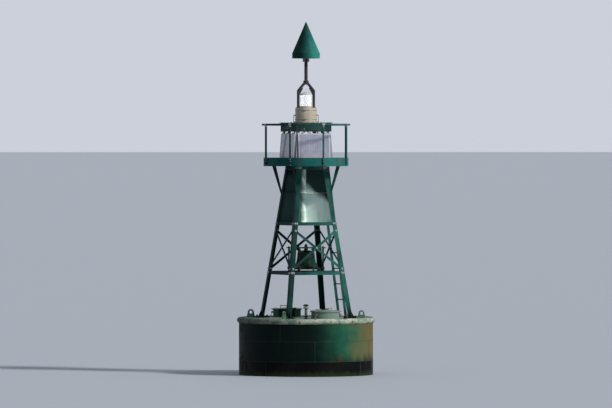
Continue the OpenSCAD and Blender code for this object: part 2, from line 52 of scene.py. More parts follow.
def make_camera():
    data = bpy.data.cameras.new("camera")
    camera = bpy.data.objects.new("camera", data)
    bpy.context.scene.collection.objects.link(camera)
    back = Vector((math.sin(VIEW_AZ), -math.cos(VIEW_AZ), 0.0))
    camera.location = back * EYE_RANGE + Vector((0.0, 0.0, EYE_HEIGHT))
    toward = Vector((0.0, 0.0, AIM_Z)) - camera.location
    camera.rotation_euler = toward.to_track_quat("-Z", "Y").to_euler()
    data.sensor_width = SENSOR_WIDTH
    data.lens = SENSOR_HEIGHT * EYE_RANGE / FRAME_HEIGHT
    data.clip_start = 1.0
    data.clip_end = 20000.0
    bpy.context.scene.camera = camera


make_camera()


# Node helpers. Colours are linear, and lengths are in metres

MIX_A, MIX_B, MIX_RESULT = 6, 7, 2


class Shade:
    """A material under construction, with short calls for the nodes it uses."""

    def __init__(self, name, color, rough, metal=0.0, gloss=0.25):
        self.mat = bpy.data.materials.new(name)
        self.mat.use_nodes = True
        self.tree = self.mat.node_tree
        self.bsdf = self.tree.nodes["Principled BSDF"]
        self.fill(self.bsdf, {"Base Color": color, "Roughness": rough, "Metallic": metal,
                              "Specular IOR Level": gloss})
        self.mat.diffuse_color = (*color, 1.0)
        coords = self.node("ShaderNodeTexCoord")
        self.place = coords.outputs["Object"]
        self.normal = coords.outputs["Normal"]

    def node(self, kind, **settings):
        made = self.tree.nodes.new(kind)
        for key, value in settings.items():
            setattr(made, key, value)
        return made

    def put(self, socket, value):
        """Links a node's output to a socket, or sets the socket's value."""
        if hasattr(value, "is_output"):
            self.tree.links.new(value, socket)
        elif isinstance(value, (tuple, list)) and len(value) == 3 and socket.type == "RGBA":
            socket.default_value = (*value, 1.0)
        else:
            socket.default_value = value

    def fill(self, made, values):
        """Puts values or outputs on a node's named sockets."""
        for name, value in values.items():
            self.put(made.inputs[name], value)

    def math(self, op, a, b=0.0, c=0.0, clamp=False):
        made = self.node("ShaderNodeMath", operation=op, use_clamp=clamp)
        for socket, value in zip(made.inputs, (a, b, c)):
            self.put(socket, value)
        return made.outputs[0]

    def times(self, a, b):
        return self.math("MULTIPLY", a, b)

    def scaled(self, a, factor, plus):
        """A value times a factor, plus another value."""
        return self.math("MULTIPLY_ADD", a, factor, plus)

    def stretched(self, scale):
        made = self.node("ShaderNodeMapping")
        self.fill(made, {"Vector": self.place, "Scale": scale})
        return made.outputs[0]

    def noise(self, scale, detail, rough=0.55, stretch=None):
        made = self.node("ShaderNodeTexNoise")
        place = self.stretched(stretch) if stretch else self.place
        self.fill(made, {"Vector": place, "Scale": scale, "Detail": detail, "Roughness": rough})
        return made.outputs["Fac"]

    def cells(self, scale):
        made = self.node("ShaderNodeTexVoronoi")
        self.fill(made, {"Vector": self.place, "Scale": scale})
        return made.outputs["Distance"]

    def ramp(self, value, low, high, out_low=0.0, out_high=1.0):
        made = self.node("ShaderNodeMapRange", interpolation_type="SMOOTHSTEP")
        self.fill(made, {"Value": value, "From Min": low, "From Max": high,
                         "To Min": out_low, "To Max": out_high})
        return made.outputs[0]

    def mix(self, factor, a, b):
        made = self.node("ShaderNodeMix", data_type="RGBA")
        self.put(made.inputs["Factor"], factor)
        self.put(made.inputs[MIX_A], a)
        self.put(made.inputs[MIX_B], b)
        return made.outputs[MIX_RESULT]

    def axis(self, index):
        made = self.node("ShaderNodeSeparateXYZ")
        self.put(made.inputs[0], self.place)
        return made.outputs[index]

    def along(self, vector, direction):
        """How far a vector reaches in a direction."""
        made = self.node("ShaderNodeVectorMath", operation="DOT_PRODUCT")
        self.put(made.inputs[0], vector)
        self.put(made.inputs[1], direction)
        return made.outputs["Value"]

    def facing_up(self):
        return self.along(self.normal, (0.0, 0.0, 1.0))

    def facing_in(self):
        """1 on sides that face the buoy's axis and 0 on those that face away."""
        level = self.node("ShaderNodeVectorMath", operation="MULTIPLY")
        self.put(level.inputs[0], self.place)
        level.inputs[1].default_value = (1.0, 1.0, 0.0)
        return self.ramp(self.along(level.outputs[0], self.normal), -0.08, -0.28)

    def edges(self, radius):
        """1 near a sharp edge and 0 on flats."""
        bevel = self.node("ShaderNodeBevel", samples=4)
        bevel.inputs["Radius"].default_value = radius
        flat_normal = self.node("ShaderNodeNewGeometry").outputs["Normal"]
        return self.ramp(self.along(bevel.outputs[0], flat_normal), 0.995, 0.9)

    def bump(self, height, strength, distance):
        made = self.node("ShaderNodeBump")
        self.fill(made, {"Strength": strength, "Distance": distance, "Height": height})
        self.put(self.bsdf.inputs["Normal"], made.outputs[0])

    def painted(self):
        """The colour built so far."""
        return self.bsdf.inputs["Base Color"].links[0].from_socket

    def color(self, value):
        self.put(self.bsdf.inputs["Base Color"], value)

    def rough(self, value):
        self.put(self.bsdf.inputs["Roughness"], value)


RUST_DARK = (0.060, 0.020, 0.010)
RUST_WARM = (0.23, 0.085, 0.028)
# Near black, used for grime and for painted shade.
SOOT_AND_SHADE = (0.002, 0.006, 0.006)
# Dark green, used for painted shade.
SHADE_GREEN = (0.002, 0.013, 0.014)
# The bright side faces the key light; painted shade goes on the far side.
BRIGHT_AZ = math.radians(336.5)
BRIGHT_SIDE = (math.cos(BRIGHT_AZ), math.sin(BRIGHT_AZ), 0.0)


def painted_shade_side(s, reach, depth, low, high, shade_tone=SOOT_AND_SHADE):
    """Painted shade: darkens the side away from the light, with a ragged border."""
    side = s.math("DIVIDE", s.along(s.place, BRIGHT_SIDE), reach)
    centred = s.math("SUBTRACT", side, 0.25)
    ragged = s.scaled(s.noise(2.2 / reach, 6.0, 0.65), 0.5, centred)
    s.color(s.mix(s.ramp(ragged, low, high, depth, 0.0), s.painted(), shade_tone))


def weathered_paint(name, color, dark, rust, streaks, chips, edge, scale=1.0, rough=0.5, chalk=None):
    """Old paint on steel: faded blotches, dirt runs, rust spots, and chips along the edges."""
    s = Shade(name, color, rough, gloss=0.05)
    blotch = s.ramp(s.noise(1.4 * scale, 6.0, 0.6), 0.35, 0.68)
    base = s.mix(blotch, dark, color)
    if chalk:
        top = s.times(s.ramp(s.facing_up(), 0.2, 0.9), s.ramp(s.noise(5.0 * scale, 5.0), 0.3, 0.7))
        base = s.mix(top, base, chalk)
    fine = s.noise(38.0 * scale, 6.0, 0.65)
    base = s.mix(s.ramp(fine, 0.35, 0.75, 0.0, 0.35), base, tuple(0.55 * c for c in color))
    runs = s.noise(7.0 * scale, 5.0, 0.6, stretch=(1.0, 1.0, 0.07))
    run_mask = s.math("MULTIPLY", s.ramp(runs, 0.52, 0.74), streaks, clamp=True)
    base = s.mix(run_mask, base, (0.055, 0.036, 0.020))
    spots = s.times(s.noise(3.2 * scale, 3.0), s.noise(24.0 * scale, 7.0, 0.7))
    spots_from, flakes_from = 0.36 - 0.09 * rust, 0.62 - 0.3 * chips
    spot_mask = s.ramp(spots, spots_from, spots_from + 0.08)
    flake = s.ramp(s.noise(30.0 * scale, 5.0, 0.7), flakes_from, flakes_from + 0.1)
    rusty = s.math("MAXIMUM", spot_mask, s.times(s.edges(edge), flake), clamp=True)
    rust_color = s.mix(s.ramp(s.noise(60.0 * scale, 6.0, 0.7), 0.35, 0.65), RUST_DARK, RUST_WARM)
    s.color(s.mix(rusty, base, rust_color))
    plain_rough = s.ramp(fine, 0.3, 0.8, rough, min(1.0, rough + 0.2))
    s.rough(s.scaled(rusty, 0.9 - rough, plain_rough))
    s.bump(s.scaled(rusty, 0.8, s.times(fine, 0.35)), 0.45, 0.0025)
    return s


def hull_paint():
    """Green topsides: almost black low down, painted shade almost black on the side away from the light,
    brown towards the bright side.
    """
    s = weathered_paint("hull_green", (0.024, 0.152, 0.086), (0.007, 0.076, 0.047),
                        rust=0.62, streaks=0.7, chips=0.7, edge=0.01, rough=0.45)
    side = s.along(s.place, BRIGHT_SIDE)
    broken = s.scaled(s.noise(1.8, 6.0, 0.6), 0.7, side)
    s.color(s.mix(s.ramp(broken, 1.0, 1.5, 0.0, 0.8), s.painted(), (0.145, 0.106, 0.040)))
    runs = s.noise(5.0, 6.0, 0.62, stretch=(1.0, 1.0, 0.12))
    low = s.ramp(s.scaled(runs, 0.35, s.axis(2)), 0.60, 0.36)
    base = s.mix(s.times(low, 0.8), s.painted(), SOOT_AND_SHADE)
    high = s.ramp(s.scaled(runs, -0.5, s.axis(2)), 0.55, 0.8)
    s.color(s.mix(s.times(high, 0.35), base, (0.12, 0.055, 0.022)))
    # Painted shade: the side away from the light goes almost black.
    painted_shade_side(s, 1.2, 0.98, 0.0, 0.86)
    return s.mat


def boot_black():
    """Bitumen on the float's foot, the underwater cone and the tail, with slime and shells grown on it."""
    s = Shade("boot_black", (0.004, 0.005, 0.005), 0.5, gloss=0.05)
    blotch = s.ramp(s.noise(3.0, 6.0, 0.6), 0.35, 0.7)
    base = s.mix(blotch, (0.0015, 0.002, 0.0025), (0.005, 0.006, 0.006))
    runs = s.noise(9.0, 6.0, 0.65, stretch=(1.0, 1.0, 0.3))
    slime = s.ramp(s.scaled(runs, -0.22, s.axis(2)), 0.0, -0.1)
    base = s.mix(s.times(slime, 0.8), base, (0.022, 0.032, 0.010))
    below = s.ramp(s.axis(2), -0.02, -0.12)
    cluster = s.times(s.ramp(s.noise(4.0, 4.0), 0.52, 0.62), below)
    spot = s.times(s.ramp(s.cells(70.0), 0.32, 0.2), cluster)
    s.color(s.mix(spot, base, (0.42, 0.40, 0.33)))
    s.rough(s.ramp(runs, 0.3, 0.7, 0.3, 0.75))
    s.bump(s.scaled(spot, 1.5, s.noise(50.0, 6.0)), 0.5, 0.004)
    return s.mat


def shell_growth():
    s = Shade("shells", (0.42, 0.39, 0.31), 0.85)
    base = s.mix(s.ramp(s.noise(9.0, 5.0), 0.35, 0.65), (0.20, 0.19, 0.13), (0.52, 0.49, 0.40))
    s.color(s.mix(s.ramp(s.noise(120.0, 5.0), 0.45, 0.7), base, (0.08, 0.09, 0.045)))
    s.bump(s.noise(160.0, 4.0, stretch=(1.0, 1.0, 0.3)), 0.7, 0.002)
    return s.mat


def worn_rim():
    """Fender bar scuffed down to primer and bare patches."""
    s = Shade("rail_worn", (0.38, 0.40, 0.31), 0.7, gloss=0.12)
    scuff = s.noise(5.0, 6.0, 0.65, stretch=(1.0, 1.0, 2.5))
    base = s.mix(s.ramp(scuff, 0.40, 0.60), (0.13, 0.26, 0.19), (0.42, 0.46, 0.37))
    pale = s.ramp(s.noise(11.0, 5.0, 0.6), 0.5, 0.68)
    base = s.mix(s.times(pale, 0.7), base, (0.52, 0.50, 0.42))
    rust = s.ramp(s.noise(16.0, 7.0, 0.7), 0.53, 0.64)
    s.color(s.mix(rust, base, (0.15, 0.065, 0.028)))
    # Painted shade on the side away from the light.
    painted_shade_side(s, 1.24, 0.75, -0.85, 0.35)
    s.bump(s.noise(45.0, 6.0, 0.7), 0.5, 0.003)
    return s.mat


def reflector_paint():
    """Pale chalked mint, with painted shade: dark green on the side away from the light, and a painted
    shadow of the gallery on the upper faces that look away from the sun.
    """
    s = Shade("reflector_pale", (0.62, 0.82, 0.76), 0.6, gloss=0.06)
    blotch = s.ramp(s.noise(3.0, 6.0, 0.6), 0.35, 0.7)
    base = s.mix(blotch, (0.70, 0.86, 0.80), (0.84, 0.95, 0.91))
    runs = s.noise(10.0, 5.0, 0.6, stretch=(1.0, 1.0, 0.08))
    base = s.mix(s.times(s.ramp(runs, 0.54, 0.72), 0.45), base, (0.16, 0.27, 0.18))
    # Painted shade: dark green on the side away from the light.
    side = s.scaled(s.noise(6.0, 6.0), 0.10, s.along(s.place, BRIGHT_SIDE))
    base = s.mix(s.ramp(side, 0.05, -0.05, 0.0, 0.95), base, (0.002, 0.036, 0.034))
    # Painted shadow of the gallery on the upper faces that look away from the sun.
    away = s.ramp(s.along(s.normal, (-math.sqrt(0.5), -math.sqrt(0.5), 0.0)), 0.3, 0.8)
    lean = s.scaled(s.along(s.place, BRIGHT_SIDE), 0.7, s.axis(2))
    high = s.ramp(s.scaled(s.noise(5.0, 5.0), 0.25, lean), 3.42, 3.58)
    base = s.mix(s.math("MULTIPLY", s.times(high, away), 0.97, clamp=True), base, (0.001, 0.018, 0.018))
    worn = s.times(s.edges(0.008), s.ramp(s.noise(25.0, 5.0), 0.45, 0.6))
    s.color(s.mix(worn, base, (0.18, 0.08, 0.035)))
    s.bump(s.noise(30.0, 6.0, 0.6), 0.3, 0.002)
    return s.mat


def bell_bronze():
    s = Shade("bell_metal", (0.02, 0.035, 0.025), 0.5, 0.12, gloss=0.10)
    patina = s.ramp(s.noise(9.0, 7.0, 0.65, stretch=(1.0, 1.0, 0.4)), 0.38, 0.62)
    base = s.mix(patina, (0.006, 0.010, 0.006), (0.004, 0.026, 0.017))
    worn = s.times(s.edges(0.004), 0.6)
    s.color(s.mix(worn, base, (0.30, 0.22, 0.11)))
    s.rough(s.scaled(patina, 0.3, 0.4))
    s.bump(s.noise(70.0, 5.0), 0.25, 0.001)
    return s.mat


def dark_iron():
    color = (0.022, 0.019, 0.018)
    s = Shade("iron_dark", color, 0.75, 0.1, gloss=0.10)
    rust = s.ramp(s.noise(12.0, 7.0, 0.7), 0.46, 0.66)
    s.color(s.mix(rust, color, (0.11, 0.043, 0.018)))
    s.bump(s.noise(60.0, 7.0, 0.7), 0.6, 0.002)
    return s.mat


def galvanised(name="galvanised", color=(0.28, 0.305, 0.32)):
    s = Shade(name, color, 0.5, 0.5)
    base = s.mix(s.cells(60.0), tuple(0.72 * c for c in color), color)
    stain = s.ramp(s.noise(6.0, 6.0, 0.6, stretch=(1.0, 1.0, 0.2)), 0.5, 0.72)
    base = s.mix(s.times(stain, 0.5), base, (0.14, 0.10, 0.065))
    rust = s.times(s.edges(0.003), s.ramp(s.noise(40.0, 5.0, 0.7), 0.5, 0.6))
    s.color(s.mix(rust, base, (0.15, 0.06, 0.025)))
    s.rough(s.ramp(stain, 0.0, 1.0, 0.42, 0.7))
    s.bump(s.noise(90.0, 4.0), 0.2, 0.001)
    return s.mat


def solar_glass():
    """Cells under glass in a pale blue-grey that is a painted sky reflection, dusty towards the lower
    edge.
    """
    s = Shade("solar_cells", (0.21, 0.23, 0.32), 0.25, gloss=0.5)
    s.fill(s.bsdf, {"Coat Weight": 1.0, "Coat Roughness": 0.06})
    # Painted sky reflection: pale blue-grey base tones in place of blue-black.
    painted_sky_sheen = s.ramp(s.noise(9.0, 4.0), 0.3, 0.7)
    base = s.mix(painted_sky_sheen, (0.23, 0.245, 0.335), (0.32, 0.335, 0.435))
    dust = s.ramp(s.scaled(s.noise(14.0, 6.0), 0.2, s.axis(2)), 4.12, 3.92)
    s.color(s.mix(s.times(dust, 0.55), base, (0.30, 0.29, 0.26)))
    s.rough(s.ramp(dust, 0.0, 1.0, 0.2, 0.6))
    return s.mat


def cell_lines():
    s = Shade("cell_lines", (0.50, 0.52, 0.56), 0.35, 0.4)
    s.color(s.mix(s.ramp(s.noise(30.0, 4.0), 0.3, 0.7), (0.36, 0.38, 0.42), (0.55, 0.57, 0.60)))
    return s.mat


def chalky(name, color, dirt, rough=0.65):
    """Moulded plastic or fibreglass gone chalky, with dirt runs."""
    s = Shade(name, color, rough)
    runs = s.noise(12.0, 6.0, 0.6, stretch=(1.0, 1.0, 0.1))
    base = s.mix(s.ramp(s.noise(7.0, 5.0), 0.3, 0.7), tuple(0.86 * c for c in color), color)
    s.color(s.mix(s.times(s.ramp(runs, 0.5, 0.75), 0.6), base, dirt))
    s.bump(s.noise(80.0, 4.0), 0.15, 0.001)
    return s.mat


def lens_glass():
    """Clear ribs round the lamp, faintly lit."""
    s = Shade("lens_clear", (0.97, 0.99, 0.99), 0.08, gloss=0.5)
    s.fill(s.bsdf, {"Transmission Weight": 0.85, "IOR": 1.35,
                    "Emission Color": (0.95, 0.98, 1.0), "Emission Strength": 0.16})
    s.rough(s.ramp(s.noise(20.0, 4.0), 0.3, 0.8, 0.05, 0.25))
    return s.mat


def weld_bead():
    """Painted-over weld, rusting in places."""
    s = Shade("welds", (0.03, 0.10, 0.07), 0.6, gloss=0.08)
    rust = s.ramp(s.noise(8.0, 6.0, 0.7), 0.48, 0.6)
    s.color(s.mix(rust, (0.02, 0.075, 0.052), (0.13, 0.052, 0.02)))
    # Painted shade on the side away from the light.
    painted_shade_side(s, 1.2, 0.7, -0.45, 0.5)
    s.bump(s.cells(260.0), 0.6, 0.002)
    return s.mat


def tower_paint(name, color, dark, shade_depth):
    """Green of the open steelwork, darker towards its foot, with painted shade on the sides that face the
    axis and on the side away from the light.
    """
    s = weathered_paint(name, color, dark, rust=0.45, streaks=0.5, chips=0.6, edge=0.005, scale=1.6,
                        chalk=(0.13, 0.30, 0.26))
    # Darker towards the foot.
    foot_darkening = s.ramp(s.scaled(s.noise(6.0, 6.0, 0.6), -0.25, s.axis(2)), 1.16, 0.96)
    s.color(s.mix(s.times(foot_darkening, 0.85), s.painted(), SOOT_AND_SHADE))
    # Painted shade on the sides that face the axis, and on the side away from the light.
    s.color(s.mix(s.times(s.facing_in(), 0.75), s.painted(), SHADE_GREEN))
    painted_shade_side(s, 0.75, shade_depth, -0.5, 0.5, SHADE_GREEN)
    return s.mat


def deck_paint():
    """Walked-on green, with painted light on the bright side and painted shade on the sides that face the
    axis.
    """
    s = weathered_paint("deck_green", (0.085, 0.20, 0.150), (0.035, 0.10, 0.075), rust=0.75, streaks=0.35,
                        chips=0.7, edge=0.006, scale=1.5, rough=0.65, chalk=(0.24, 0.30, 0.25))
    # Painted light: paler towards the bright side.
    painted_light = s.ramp(s.along(s.place, BRIGHT_SIDE), -0.1, 0.35, 0.0, 0.55)
    s.color(s.mix(painted_light, s.painted(), (0.29, 0.38, 0.32)))
    # Painted shade on the sides that face the axis.
    s.color(s.mix(s.times(s.facing_in(), 0.85), s.painted(), SOOT_AND_SHADE))
    return s.mat


def topmark_paint():
    s = weathered_paint("topmark_green", (0.036, 0.275, 0.230), (0.014, 0.165, 0.142),
                        rust=0.25, streaks=0.35, chips=0.4, edge=0.006, scale=2.0)
    # Painted shade on the cone's side away from the light.
    painted_shade_side(s, 0.27, 0.95, -0.40, 0.85, SHADE_GREEN)
    return s.mat


FINISH = {
    "boot_black": boot_black(),
    "hull_green": hull_paint(),
    "deck_green": deck_paint(),
    "rail_worn": worn_rim(),
    "tower_green": tower_paint("tower_green", (0.022, 0.152, 0.126), (0.006, 0.064, 0.062), 0.80),
    "reflector_pale": reflector_paint(),
    "bell_metal": bell_bronze(),
    "iron_dark": dark_iron(),
    "zinc": galvanised("zinc", (0.50, 0.52, 0.52)),
    "galvanised": galvanised(),
    "frame_alloy": galvanised("frame_alloy", (0.50, 0.52, 0.58)),
    "solar_cells": solar_glass(),
    "box_green": weathered_paint(
        "box_green", (0.030, 0.075, 0.068), (0.010, 0.034, 0.034), rust=0.3, streaks=0.4,
        chips=0.5, edge=0.005, scale=2.0, chalk=(0.10, 0.17, 0.155)).mat,
    "drum_tan": chalky("drum_tan", (0.54, 0.47, 0.37), (0.20, 0.16, 0.12)),
    "lens_clear": lens_glass(),
    "lamp_white": chalky("lamp_white", (0.80, 0.82, 0.82), (0.45, 0.45, 0.42), 0.4),
    "cap_pale": chalky("cap_pale", (0.62, 0.64, 0.63), (0.25, 0.24, 0.20)),
    "topmark_green": topmark_paint(),
}
EXTRA = {"welds": weld_bead(), "shells": shell_growth(), "cell_lines": cell_lines()}
YOKE_GREY = weathered_paint(
    "yoke_grey", (0.060, 0.064, 0.080), (0.026, 0.030, 0.040), rust=0.45, streaks=0.4,
    chips=0.5, edge=0.004, scale=3.0).mat
GALLERY_GREEN = tower_paint("gallery_green", (0.026, 0.190, 0.176), (0.010, 0.120, 0.114), 0.6)
OWN_FINISH = {"topmark_yoke": YOKE_GREY, "topmark_pole": YOKE_GREY, "platform_rim": GALLERY_GREEN}


def dress_nodes():
    """Gives each solid the finish of its slot, or its own."""
    for row in frame["record"]["subparts"]:
        node = NODES[row["node"]]
        for cell in node.material_slots:
            cell.material = OWN_FINISH.get(row["node"], FINISH[row["material_slot"]])


dress_nodes()


# Building joined pieces out of small fittings

class Kit:
    """Gathers many small fittings into one mesh."""

    def __init__(self):
        self.verts = []
        self.faces = []

    def add(self, verts, faces):
        first = len(self.verts)
        self.verts += [tuple(v) for v in verts]
        self.faces += [tuple(first + i for i in face) for face in faces]

    def sweep(self, loops, closed=False):
        """Skins equal loops of points one after another, with caps unless the row is closed."""
        count = len(loops[0])
        faces = []
        rows = len(loops)
        for r in range(rows if closed else rows - 1):
            for i in range(count):
                a, b = r * count, (r + 1) % rows * count
                faces.append((a + i, a + (i + 1) % count, b + (i + 1) % count, b + i))
        if not closed:
            faces.append(tuple(reversed(range(count))))
            faces.append(tuple((rows - 1) * count + i for i in range(count)))
        self.add([v for loop in loops for v in loop], faces)

    def turned(self, at, out, profile, sides, turn=0.0):
        """Turns (radius, height) pairs about an axis through a point."""
        side, up = cross_axes(out)
        loops = []
        for radius, height in profile:
            angles = (turn + 2 * math.pi * i / sides for i in range(sides))
            loops.append([at + out * height + (side * math.cos(a) + up * math.sin(a)) * radius
                          for a in angles])
        self.sweep(loops)

    def bolt(self, at, out, across, washer=True, stud=0.0):
        """Hexagon head on a washer, with a threaded end standing out of a nut where asked."""
        at, out = Vector(at), Vector(out).normalized()
        corner, washer_r, stud_r = across / math.sqrt(3), across * 0.86, across * 0.32
        base = 0.0
        if washer:
            base = across * 0.10
            self.turned(at, out, [(washer_r, 0.0), (washer_r, base)], 14)
        top = base + across * 0.62
        turn = (at.x * 37.0 + at.y * 53.0 + at.z * 71.0) % 1.0
        head = [(corner, base), (corner, top - across * 0.07), (corner * 0.86, top)]
        self.turned(at, out, head, 6, turn)
        if stud:
            self.turned(at, out, [(stud_r, top - 0.001), (stud_r, top + stud)], 10)

    def rod(self, a, b, radius, sides):
        a, b = Vector(a), Vector(b)
        self.turned(a, (b - a).normalized(), [(radius, 0.0), (radius, (b - a).length)], sides)

    def ring(self, center, out, big, small, steps, sides):
        """Round bar of a small radius, bent to a big one about an axis."""
        center, out = Vector(center), Vector(out).normalized()
        side, up = cross_axes(out)
        loops = []
        for i in range(steps):
            a = 2 * math.pi * i / steps
            ray = side * math.cos(a) + up * math.sin(a)
            loops.append([center + ray * (big + small * math.cos(b)) + out * (small * math.sin(b))
                          for b in (2 * math.pi * j / sides for j in range(sides))])
        self.sweep(loops, closed=True)

    def pipe(self, points, radius, sides):
        """Bent pipe through points, mitred at the bends."""
        points = [Vector(p) for p in points]
        ways = [(b - a).normalized() for a, b in zip(points, points[1:])]
        loops = []
        side = None
        for i, p in enumerate(points):
            before, after = ways[max(i - 1, 0)], ways[min(i, len(ways) - 1)]
            way = (before + after).normalized()
            side = cross_axes(way)[0] if side is None else (side - way * side.dot(way)).normalized()
            up = way.cross(side)
            wide = 1.0 / max(0.5, way.dot(after))
            bend = (after - before).normalized() if wide > 1.001 else Vector((0, 0, 0))
            loop = []
            for j in range(sides):
                a = 2 * math.pi * j / sides
                ray = (side * math.cos(a) + up * math.sin(a)) * radius
                ray += bend * ray.dot(bend) * (wide - 1.0)
                loop.append(p + ray)
            loops.append(loop)
        self.sweep(loops)

    def slab(self, at, x_way, y_way, size):
        """Plate by its centre, two directions and three sizes."""
        x_way, y_way = Vector(x_way).normalized(), Vector(y_way).normalized()
        z_way = x_way.cross(y_way)
        half = [s / 2 for s in size]
        corners = [(-1, -1), (1, -1), (1, 1), (-1, 1)]
        loops = [[Vector(at) + x_way * (half[0] * i) + y_way * (half[1] * j) + z_way * k
                  for i, j in corners] for k in (-half[2], half[2])]
        self.sweep(loops)

    def piece(self, name, slot, body="buoy", finish=None, round_to=35.0):
        """The finished mesh, riding a body, in its slot's finish unless it has another."""
        mesh = bpy.data.meshes.new(name)
        mesh.from_pydata(self.verts, [], self.faces)
        mesh.validate()
        for face in mesh.polygons:
            face.use_smooth = True
        mesh.set_sharp_from_angle(angle=math.radians(round_to))
        mesh.materials.append(finish or FINISH[slot])
        made = bpy.data.objects.new(name, mesh)
        bpy.context.scene.collection.objects.link(made)
        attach(made, body)


def cross_axes(out):
    """Two directions square to a third."""
    start = Vector((0, 0, 1)) if abs(out.z) < 0.9 else Vector((1, 0, 0))
    side = start.cross(out).normalized()
    return side, out.cross(side)


def polar(radius, degrees, z):
    """A point by its distance from the axis, its bearing and its height."""
    a = math.radians(degrees)
    return Vector((radius * math.cos(a), radius * math.sin(a), z))


def flat(degrees):
    return polar(1.0, degrees, 0.0)


def spoke(degrees):
    """Directions out from the axis and level across."""
    return flat(degrees), flat(degrees + 90)


UP = Vector((0, 0, 1))
DOWN = Vector((0, 0, -1))


# Sizes that the fittings share with the construction, in metres

FLOAT_R, FLOAT_DEEP, DECK_Z = 1.2, 0.56, 1.01
TAIL_R, TAIL_Z, FLANGE_Z = 0.305, -0.98, -2.040
UNDER_RISE = 0.42 / (FLOAT_R - TAIL_R)
UNDER_TILT = math.atan(UNDER_RISE)
ANODE_R = 0.95
COAMING_R, WELL_Y = 0.25, 0.86
LID_Z, LID_BOLTS, LID_LIP = 1.1583, 0.236, 0.262
HINGE_Y, HINGE_Z = 0.30, 1.165
VENT_X, VENT_Y, VENT_FLANGE, VENT_BOLTS = 0.33, 0.76, 0.008, 0.038
EYE_R = 1.0649
FOOT_Z, FOOT_HALF = 1.026, 0.63003
HEAD_Z, HEAD_HALF = 3.727, 0.278
LEAN = (FOOT_HALF - HEAD_HALF) / (HEAD_Z - FOOT_Z)
TILT = math.atan(LEAN)
LEG_W, LEG_T, GIRT_T = 0.080, 0.00805, 0.006
GIRTS = (1.790, 2.670, 3.665)
BRACE_Z = (1.895, 2.575)
LADDER_OUT, RUNG_PITCH, RUNG_FIRST = 0.080, 0.282, 0.020
BEAM_TOP, MOUTH_Z, STAND_TOP = 1.856, 1.882, 2.276
BELL_WAIST, BELL_FLARE, BELL_H = 0.150, 0.112, 0.290
STAND_R, PIN_R, PIN_Z = 0.334, 0.324, 2.232
TIERS = ((2.680, 3.245), (3.249, 3.663))
POST_RING, RAIL_RING, RIM_IN, LEDGE_R = 0.776, 0.777, 0.752, 0.735
POST_FOOT, LEDGE_Z, FLOOR_Z, RAIL_Z = 3.7445, 3.759, 3.8, 4.47
CLAMP_Z, PAD_Z = (3.815, 3.855), 3.835
OPENING_X, OPENING_Y = 0.376, 0.223
PED_FOOT, PED_TILT = 0.355, math.atan(0.040 / 0.545)
PANEL_WIDE, PANEL_TALL, PANEL_LOW, GLASS_OUT = 0.570, 0.410, 0.080, 0.0323
BOX_Z, BOX_HALF, BOX_TOP = 4.345, 0.345, 4.505
DRUM_R, DRUM_FOOT, DRUM_TOP = 0.192, 4.517, 4.770
FOOT_BOLTS, TOP_BOLTS, CAP_BOLTS = 0.206, 0.156, 0.0925
BAND_Z, GLAND_Z, CAP_EDGE, CAP_TOP, SENSOR_Z = (4.560, 4.726), 4.64, 5.0145, 5.026, 5.035
YOKE_X, YOKE_FOOT, POLE_FOOT = 0.151, 4.778, 5.252
CONE_R, CONE_Z, CONE_SKIRT, CONE_TIP = 0.248, 5.655, 0.090, 6.299

SIDES = (-1, 1)


def tower_half(z):
    """Half of the tower's width at a height."""
    return FOOT_HALF - (z - FOOT_Z) * LEAN


def turned_to(k, point):
    """A point or direction after k quarter turns."""
    return Matrix.Rotation(math.radians(90 * k), 3, "Z") @ Vector(point)


def face_ways(k):
    """Outward and sideways directions of a square's side."""
    return turned_to(k, (1, 0, 0)), turned_to(k, (0, 1, 0))


def on_tower(k, out, along, z):
    """A point off a leaning tower face, and the face's outward direction."""
    way = Vector((math.cos(TILT), 0.0, math.sin(TILT)))
    point = Vector((tower_half(z), along, z)) + way * out
    return turned_to(k, point), turned_to(k, way)


def on_ladder(out, up):
    """A point off the ladder's tower face, by its way out and up the slope."""
    c, s = math.cos(TILT), math.sin(TILT)
    return Vector((FOOT_HALF + out * c - up * s, 0.0, FOOT_Z + out * s + up * c))


def on_pedestal(k, out, along, up):
    """A point off a leaning pedestal face, and the face's outward and upward directions."""
    c, s = math.cos(PED_TILT), math.sin(PED_TILT)
    point = Vector((PED_FOOT + out * c - up * s, along, FLOOR_Z + out * s + up * c))
    return turned_to(k, point), turned_to(k, (c, 0.0, s)), turned_to(k, (-s, 0.0, c))


def vent_foot(side):
    """Middle of a vent's flange."""
    return Vector((side * VENT_X, side * VENT_Y, DECK_Z + VENT_FLANGE))


def hull_seams():
    """Plate seams of the float, and the beads round what stands on its deck."""
    kit = Kit()
    bead = 0.0035
    low, middle, high = 0.262, 0.62, 0.928
    for z in (low, middle, high):
        kit.ring((0, 0, z), UP, FLOAT_R, bead, steps=144, sides=6)
    for k in range(6):
        for z0, z1, a in ((low, middle, 60 * k + 14), (middle, high, 60 * k + 44)):
            kit.rod(polar(FLOAT_R, a, z0), polar(FLOAT_R, a, z1), bead, 6)
    for k in range(4):
        a = 90 * k + 30
        kit.rod(polar(FLOAT_R, a, -FLOAT_DEEP), polar(FLOAT_R, a, low), bead, 6)
    kit.ring((0, 0, DECK_Z), UP, FLOAT_R - 0.006, 0.005, steps=144, sides=6)
    for side in SIDES:
        kit.ring((0, side * WELL_Y, DECK_Z), UP, COAMING_R + 0.0015, 0.0045, steps=64, sides=6)
        kit.ring(vent_foot(side), UP, 0.0255, bead, steps=24, sides=6)
    for k in range(4):
        ray, across = spoke(45 + 90 * k)
        at, reach = polar(EYE_R, 45 + 90 * k, DECK_Z), ray * 0.078
        for s in SIDES:
            off = across * s * 0.013
            kit.rod(at - reach + off, at + reach + off, 0.004, 6)
    kit.piece("hull_seams", "hull_green", finish=EXTRA["welds"])


